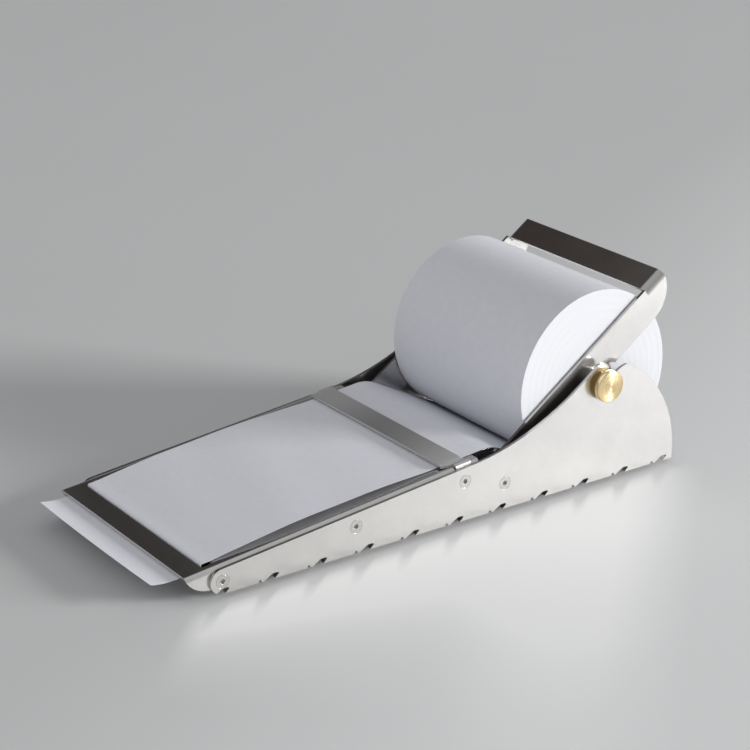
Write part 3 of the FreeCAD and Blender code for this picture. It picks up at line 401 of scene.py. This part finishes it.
def table_top():
    """Pale lacquered table with a faint cloud in the tone and in the gloss. Its colour is painted paler toward
    the window as painted light, and it glows with a painted throw of window light from the right side plate.
    """
    material, tree, shader, position = new_material("table_top")
    cloud = noise(tree, Vector=position, Scale=3.0, Detail=4.0)
    # painted light: the colour grows paler toward the window, as if lit more strongly there
    toward_window = vector_maths(tree, "DOT_PRODUCT", position, (0.88, 0.48, 0))
    tone = maths(tree, "MULTIPLY_ADD", level(tree, cloud, 0, 1), 0.05,
                 eased(tree, toward_window, -0.07, 0.14, 0.95))
    # painted light: the table glows where the right side plate would throw the window light
    painted_throw_mask = use_group(tree, PAINTED_THROW, Vector=position)["Mask"]
    give(tree, shader,
         Base_Color=shade_between(tree, tone, (0.65, 0.655, 0.65), (0.85, 0.855, 0.85)),
         Roughness=level(tree, cloud, 0.42, 0.46),
         Emission_Color=shade_between(tree, painted_throw_mask, (0, 0, 0), (0.19, 0.187, 0.18)),
         Emission_Strength=1.0, Specular_IOR_Level=0.15)
    return material


# --------------------------------------------------------------- surfaces

def grid_faces(rows, columns, closed=False):
    """Quads between neighbouring points of a grid, as an array of four indices. closed joins it both ways."""
    index = np.arange(rows * columns).reshape(rows, columns)
    if closed:
        index = np.vstack([index, index[:1]])
        index = np.hstack([index, index[:, :1]])
    quads = np.stack([index[:-1, :-1], index[1:, :-1], index[1:, 1:], index[:-1, 1:]], axis=-1)
    return quads.reshape(-1, 4)


def mesh_from(name, points, faces, slots=None):
    """Mesh from points in millimetres, with smooth faces and an optional material number for each face."""
    mesh = bpy.data.meshes.new(name)
    mesh.from_pydata((points.reshape(-1, 3) / 1000).tolist(), [], faces.tolist())
    mesh.polygons.foreach_set("use_smooth", np.ones(len(faces), dtype=bool))
    if slots is not None:
        mesh.polygons.foreach_set("material_index", slots.astype(np.int32))
    mesh.update()
    return mesh


def lathe(name, profile, steps, slot_of=None):
    """Closed ring round the axle.

    A point of the profile (x, r) goes to (x, y0 + r cos a, z0 + r sin a), with a going once round.
    The profile is closed and runs so that its faces look outward.
    """
    angle = np.linspace(0, 2 * np.pi, steps, endpoint=False)[:, None]
    x, radius = profile[:, 0][None, :], profile[:, 1][None, :]
    y = AXLE[0] + radius * np.cos(angle)
    z = AXLE[1] + radius * np.sin(angle)
    points = np.stack([x + 0 * angle, y, z], axis=-1)
    slots = None if slot_of is None else np.tile(slot_of, steps)
    mesh = mesh_from(name, points, grid_faces(steps, len(profile), closed=True), slots)
    mesh.set_sharp_from_angle(angle=math.radians(40))
    return add_to_scene(name, mesh)


def dressed(node, width):
    """Copy of a CAD solid, its flat facets joined and its sharp edges rounded by width millimetres."""
    mesh = nodes[node].data.copy()
    mesh.name = node + "_dressed"
    mesh.materials.clear()
    mesh.attributes.remove(mesh.attributes["custom_normal"])
    work = bmesh.new()
    work.from_mesh(mesh)
    bmesh.ops.remove_doubles(work, verts=work.verts, dist=SAME_POINT / 1000)
    bmesh.ops.dissolve_limit(work, angle_limit=math.radians(SAME_FACE), verts=work.verts, edges=work.edges)
    for edge in work.edges:
        edge.smooth = True
    work.to_mesh(mesh)
    work.free()
    mesh.polygons.foreach_set("use_smooth", np.ones(len(mesh.polygons), dtype=bool))
    piece = add_to_scene(node + "_dressed", mesh)
    bevel = piece.modifiers.new("rounded_edges", "BEVEL")
    bevel.width = width / 1000
    bevel.segments = 2
    bevel.limit_method = "ANGLE"
    bevel.angle_limit = math.radians(ROUNDED_ABOVE)
    bevel.harden_normals = True
    bevel.use_clamp_overlap = True
    return piece


def finish_piece(piece, body, slot, materials, *replaced):
    """Give a piece its materials, the body that it moves with, and the solids that it stands for."""
    for material in materials:
        piece.data.materials.append(material)
    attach(piece, body)
    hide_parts(*replaced)


# -------------------------------------------------------------- loose paper

def tray_point(y, depth):
    """Point at a depth below the writing surface, square to it (Y, Z)."""
    lean = math.radians(PITCH)
    radius = NOSE[1] - BASE
    edge = NOSE[1] + radius * math.cos(lean) + math.tan(lean) * (y - NOSE[0] + radius * math.sin(lean))
    return np.array([y + depth * math.sin(lean), edge + TRAY_STEP - depth * math.cos(lean)])


def paper_runs():
    """Runs of the loose paper from its free end to the roll: (length, turn in degrees) for each."""
    lean = math.radians(PITCH)
    # a rise of two equal arcs, one that turns up and one that turns back
    bend = 2 * math.atan((PAPER_DEPTH + PAPER_FLOAT) / PAPER_CLIMB)
    climb_arc = PAPER_CLIMB / (2 * math.sin(bend)) * bend
    # a low arch from the exit to the hold-down bar
    bar_run = BAR_DEPTH / math.cos(lean) + PAPER_LEAD
    arch_from = BAR_FRONT + (bar_run + PAPER_CLIMB) * math.cos(lean)
    stretch = math.radians(ARCH_SLOPE) / math.sin(math.radians(ARCH_SLOPE))
    arch_run = (HOLD_FRONT - arch_from) / math.cos(lean) * stretch - 2 * ARCH_EASE
    # a straight stretch that touches the guide's circle below and the roll's circle above
    over_guide = GUIDE_RADIUS + PAPER_FLOAT
    round_roll = ROLL_RADIUS + PAPER_GAP
    centre = tray_point(GUIDE_BEND, 0) + GUIDE_RADIUS * np.array([math.sin(lean), -math.cos(lean)])
    span = math.dist(centre, AXLE)
    toward_axle = math.atan2(AXLE[1] - centre[1], AXLE[0] - centre[0])
    heading = math.degrees(toward_axle - math.asin((over_guide + round_roll) / span))
    return [
        (TAIL, TAIL_CURL),
        (bar_run, 0.0),
        (climb_arc, math.degrees(bend)),
        (climb_arc, -math.degrees(bend)),
        (ARCH_EASE, ARCH_SLOPE),
        (arch_run, -2 * ARCH_SLOPE),
        (ARCH_EASE, ARCH_SLOPE),
        ((GUIDE_BEND - HOLD_FRONT) / math.cos(lean), 0.0),
        (over_guide * math.radians(PITCH - heading), heading - PITCH),
        (math.sqrt(span ** 2 - (over_guide + round_roll) ** 2), 0.0),
        (round_roll * math.radians(WRAP), WRAP),
    ]


def make_paper_web():
    """Sheet of paper from the roll to its free end.

    The heading along the sheet is the sum of its bends, and the line is that heading's running sum.
    Each point stands off that line by a low swell, with side from -1 to 1 across: over the arch the square
    of a half wave times a crown, 0.25 (1 - side^2), and a ripple of 0.12. The free end lifts at its corners
    and drops in the middle, 0.5 side^2 - 0.15, by the square of the way to its edge.
    """
    runs = np.array(paper_runs())
    ends = np.concatenate([[0.0], np.cumsum(runs[:, 0])])
    start = PITCH - TAIL_CURL
    headings = np.radians(np.concatenate([[start], start + np.cumsum(runs[:, 1])]))
    fine = np.linspace(0, ends[-1], 9001)
    heading = np.interp(fine, ends, headings)
    step = fine[1] - fine[0]
    middle = (heading[:-1] + heading[1:]) / 2
    along = np.concatenate([[0], np.cumsum(np.cos(middle) * step)])
    rise = np.concatenate([[0], np.cumsum(np.sin(middle) * step)])
    at_bar = tray_point(BAR_FRONT, PAPER_DEPTH)
    along += at_bar[0] - np.interp(TAIL, fine, along)
    rise += at_bar[1] - np.interp(TAIL, fine, rise)

    # rows about 1.2 mm apart, and a narrow row and columns that keep the rim's shading to the rim
    rim = 0.05
    rows = [np.linspace(a, b, max(6, int((b - a) / 1.2))) for a, b in zip(ends[:-1], ends[1:])]
    spaced = np.insert(np.unique(np.concatenate(rows)), 1, rim)
    half = ROLL_WIDTH / 2
    across = np.concatenate([[-half], np.linspace(rim - half, half - rim, 41), [half]])

    turn = np.interp(spaced, fine, heading)[:, None]
    y = np.interp(spaced, fine, along)[:, None]
    z = np.interp(spaced, fine, rise)[:, None]
    side = (across / half)[None, :]
    arch_start, arch_end = ends[4], ends[7]
    part = np.clip((spaced - arch_start) / (arch_end - arch_start), 0, 1)[:, None]
    ripple = 0.12 * np.sin(5 * part * np.pi + 2.0 * side)
    swell = np.sin(np.pi * part) ** 2 * (0.25 * (1 - side ** 2) + ripple)
    free = np.clip(1 - spaced / TAIL, 0, 1)[:, None]
    swell += free ** 2 * (0.5 * side ** 2 - 0.15)
    points = np.stack([across[None, :] + 0 * y, y - np.sin(turn) * swell, z + np.cos(turn) * swell], axis=-1)

    mesh = mesh_from("loose_paper", points, grid_faces(len(spaced), len(across))[:, ::-1])
    piece = add_to_scene("loose_paper", mesh)
    solid = piece.modifiers.new("thickness", "SOLIDIFY")
    solid.thickness = PAPER_THICKNESS / 1000
    solid.offset = 0.0
    finish_piece(piece, "frame", "paper_white", [PAPER], "paper_web")


# --------------------------------------------------- roll, knobs and metal

def make_paper_roll():
    """Full roll: a ring whose end faces are a little uneven where the layers don't quite line up.

    An end stands at half the width, less 0.13, plus three low waves in the radius.
    """
    half = ROLL_WIDTH / 2
    rim = 0.15
    end_points, outer_points, inner_points = 90, 14, 6
    radius = np.linspace(CORE_RADIUS + 0.05, ROLL_RADIUS - rim, end_points)
    uneven = (0.02 * np.sin(radius * 2.1) + 0.012 * np.sin(radius * 5.3 + 1.0)
              + 0.008 * np.sin(radius * 9.7 + 2.0) - 0.13)
    right_end = np.stack([half + uneven, radius], axis=-1)
    left_end = np.stack([-half - uneven, radius], axis=-1)[::-1]
    outer_x = np.linspace(half - rim, rim - half, outer_points)
    inner_x = np.linspace(rim - half, half - rim, inner_points)
    outside = np.stack([outer_x, np.full(outer_points, ROLL_RADIUS)], axis=-1)
    inside = np.stack([inner_x, np.full(inner_points, CORE_RADIUS + CORE_PLAY)], axis=-1)
    profile = np.vstack([right_end, outside, left_end, inside])
    # material 1, the wound edges, on both ends and material 0 on the outside and in the bore
    slot_of = np.concatenate([np.ones(end_points - 1), np.zeros(outer_points + 1), np.ones(end_points),
                              np.zeros(inner_points)])
    piece = lathe("paper_roll_wound", profile, 192, slot_of)
    finish_piece(piece, "roll", "paper_white", [PAPER, WOUND], "paper_roll")


def arc_points(centre, radius, start, end, count):
    """Points of an arc of the profile, angles in degrees."""
    angle = np.radians(np.linspace(start, end, count))
    return np.stack([centre[0] + radius * np.cos(angle), centre[1] + radius * np.sin(angle)], axis=-1)


def make_thumb_nut(side, sign):
    """Turned knob, a ring round the axle: a narrower neck, a drum with a shallow groove and a blind bore."""
    inner = HALF_BODY + FACE_GAP
    outer = inner + KNOB_LENGTH
    neck = inner + NECK_LENGTH
    groove = inner + GROOVE_PLACE
    groove_floor = KNOB_RADIUS - GROOVE_DEPTH
    bore_end = inner + KNOB_BORE
    small, large = 0.25, 0.5    # rounded rims at the neck and at the face
    middle = 0.02               # the face and the bore's end close to this radius
    profile = np.vstack([
        [[inner, BORE_RADIUS], [inner, 3.0], [inner, NECK_RADIUS - 0.2], [inner + 0.2, NECK_RADIUS]],
        [[neck, NECK_RADIUS], [neck, KNOB_RADIUS - 1.0]],
        arc_points((neck + small, KNOB_RADIUS - small), small, 180, 90, 4),
        [[groove - 0.2, KNOB_RADIUS], [groove - 0.1, groove_floor]],
        [[groove + 0.1, groove_floor], [groove + 0.2, KNOB_RADIUS]],
        arc_points((outer - large, KNOB_RADIUS - large), large, 90, 0, 7),
        [[outer, KNOB_RADIUS - 1.4], [outer, KNOB_RADIUS - 2.8], [outer, 0.9], [outer, middle]],
        [[bore_end, middle], [bore_end, BORE_RADIUS]],
    ])
    profile[:, 0] *= sign
    if sign > 0:
        profile = profile[::-1]
    piece = lathe("thumb_knob_" + side, profile, 128)
    finish_piece(piece, "nut_" + side, "knob_brass", [BRASS], "thumb_nut_" + side)


def make_sheet_metal_and_screws():
    """Sheet pieces and screws: copies of their solids with rounded edges."""
    for node, body, width, finish in (
            ("body_shell", "frame", SHEET_ROUNDING, SHEET),
            ("writing_tray", "frame", SHEET_ROUNDING, TRAY),
            ("hold_down_bar", "frame", BAR_ROUNDING, SHEET),
            ("paper_bail", "bail", SHEET_ROUNDING, BAIL)):
        finish_piece(dressed(node, width), body, "sheet_steel", [finish], node)
    for station in ("nose", "tray", "hold", "pivot"):
        for side in ("right", "left"):
            name = "%s_screw_%s" % (station, side)
            finish_piece(dressed(name, SCREW_ROUNDING), "frame", "fastener_steel", [FASTENER], name)


def paint_cad_nodes():
    """Finish for every CAD node, by its slot in the record."""
    finishes = {"sheet_steel": SHEET, "fastener_steel": FASTENER, "turned_steel": TURNED, "knob_brass": BRASS,
                "bush_plastic": PLASTIC, "mat_rubber": RUBBER, "core_card": CARD, "paper_white": PAPER}
    for entry in frame["record"]["subparts"]:
        piece = nodes[entry["node"]]
        if not piece.data.materials:
            piece.data.materials.append(None)
        for slot in piece.material_slots:
            slot.link = "OBJECT"
            slot.material = finishes[entry["material_slot"]]


# ---------------------------------------------------------- table and light

def make_table():
    """Flat square table: (x, y) goes to (x, y, 0) on a grid eight metres across."""
    span = np.linspace(-4000.0, 4000.0, 9)
    x, y = np.meshgrid(span, span, indexing="ij")
    mesh = mesh_from("table", np.stack([x, y, 0 * x], axis=-1), grid_faces(9, 9))
    mesh.materials.append(table_top())
    add_to_scene("table", mesh)


def make_window():
    """Rectangular lamp behind the device on its right, facing it."""
    lamp = bpy.data.lights.new("window", "AREA")
    lamp.shape = "RECTANGLE"
    lamp.size, lamp.size_y = WINDOW_SIZE
    lamp.energy = WINDOW_POWER
    back = np.array(WINDOW_DIRECTION) / np.linalg.norm(WINDOW_DIRECTION)
    right, up = level_axes(back)
    place = back * WINDOW_DISTANCE + np.array(WINDOW_AIM)
    add_to_scene("window", lamp).matrix_world = placed_at(right, up, back, place)


def make_room():
    """Room round the device: dim, brighter overhead and on the front wall, with a dark brown doorway."""
    world = bpy.data.worlds.new("room")
    world.use_nodes = True
    bpy.context.scene.world = world
    tree = world.node_tree
    direction = tree.nodes.new("ShaderNodeTexCoord").outputs["Generated"]

    def zone(toward, start, end):
        """0 away from a direction to 1 around it, between two cosines."""
        return eased(tree, vector_maths(tree, "DOT_PRODUCT", direction, toward), start, end)

    doorway = zone(DOORWAY_DIRECTION, 0.82, 0.95)
    brown = zone(DOORWAY_DIRECTION, 0.92, 0.98)
    wall = zone((-0.10, -0.95, 0.30), 0.5, 0.95)
    overhead = zone((0.0, 0.0, 1.0), 0.3, 1.0)
    room = maths(tree, "MULTIPLY_ADD", wall, 0.32, maths(tree, "MULTIPLY_ADD", overhead, 0.22, 0.31))
    tone = maths(tree, "MULTIPLY", room, maths(tree, "MULTIPLY_ADD", doorway, -0.93, 1.0))
    by_camera = tree.nodes.new("ShaderNodeLightPath").outputs["Is Camera Ray"]
    seen = add(tree, "ShaderNodeMix", {"data_type": "FLOAT"}, i0=by_camera, i2=tone, i3=0.45).outputs[0]
    give(tree, tree.nodes["Background"], Strength=seen,
         Color=shade_between(tree, brown, (0.97, 0.98, 1.0), (1.0, 0.60, 0.44)))


AXLE_CENTRE = (0, AXLE[0] / 1000, AXLE[1] / 1000)
GRAIN = make_grain_group()
RINGS = make_ring_group()
TURNING = make_turned_group()
PAINTED_THROW = make_painted_throw_group()
# The shell, tray and bail share one sheet steel. The tray's paler tone is painted light, alongside its smoother
# finish, and the bail's darker tone is painted shade.
SHEET = steel("satin_sheet", (0.52, 0.505, 0.49), (0.585, 0.57, 0.55), 0.30, 0.36)
TRAY = steel("satin_tray_painted_lighter", (0.63, 0.61, 0.59), (0.70, 0.68, 0.655), 0.18, 0.22)
BAIL = steel("satin_bail_painted_darker", (0.42, 0.405, 0.39), (0.48, 0.465, 0.445), 0.30, 0.36)
# Screws: a darker tone than the plates, painted shade that darkens the countersink ring round each head
FASTENER = steel("screw_steel_painted_darker", (0.38, 0.37, 0.36), (0.52, 0.51, 0.49), 0.22, 0.34, 2500.0, (1, 1, 1), 0.08)
TURNED = steel("turned_rod", (0.55, 0.55, 0.55), (0.68, 0.68, 0.68), 0.2, 0.3, 1500.0, (1, 0.2, 0.2), 0.08)
BRASS = brass()
PAPER = paper()
WOUND = wound_paper()
CARD = card()
PLASTIC = moulded("moulded_bush")
RUBBER = moulded("rubber_mat_finish")

place_camera()
make_table()
make_window()
make_room()
make_paper_web()
make_paper_roll()
make_thumb_nut("right", 1)
make_thumb_nut("left", -1)
make_sheet_metal_and_screws()
paint_cad_nodes()

bpy.context.scene.view_settings.view_transform = "Standard"
bpy.context.view_layer.update()
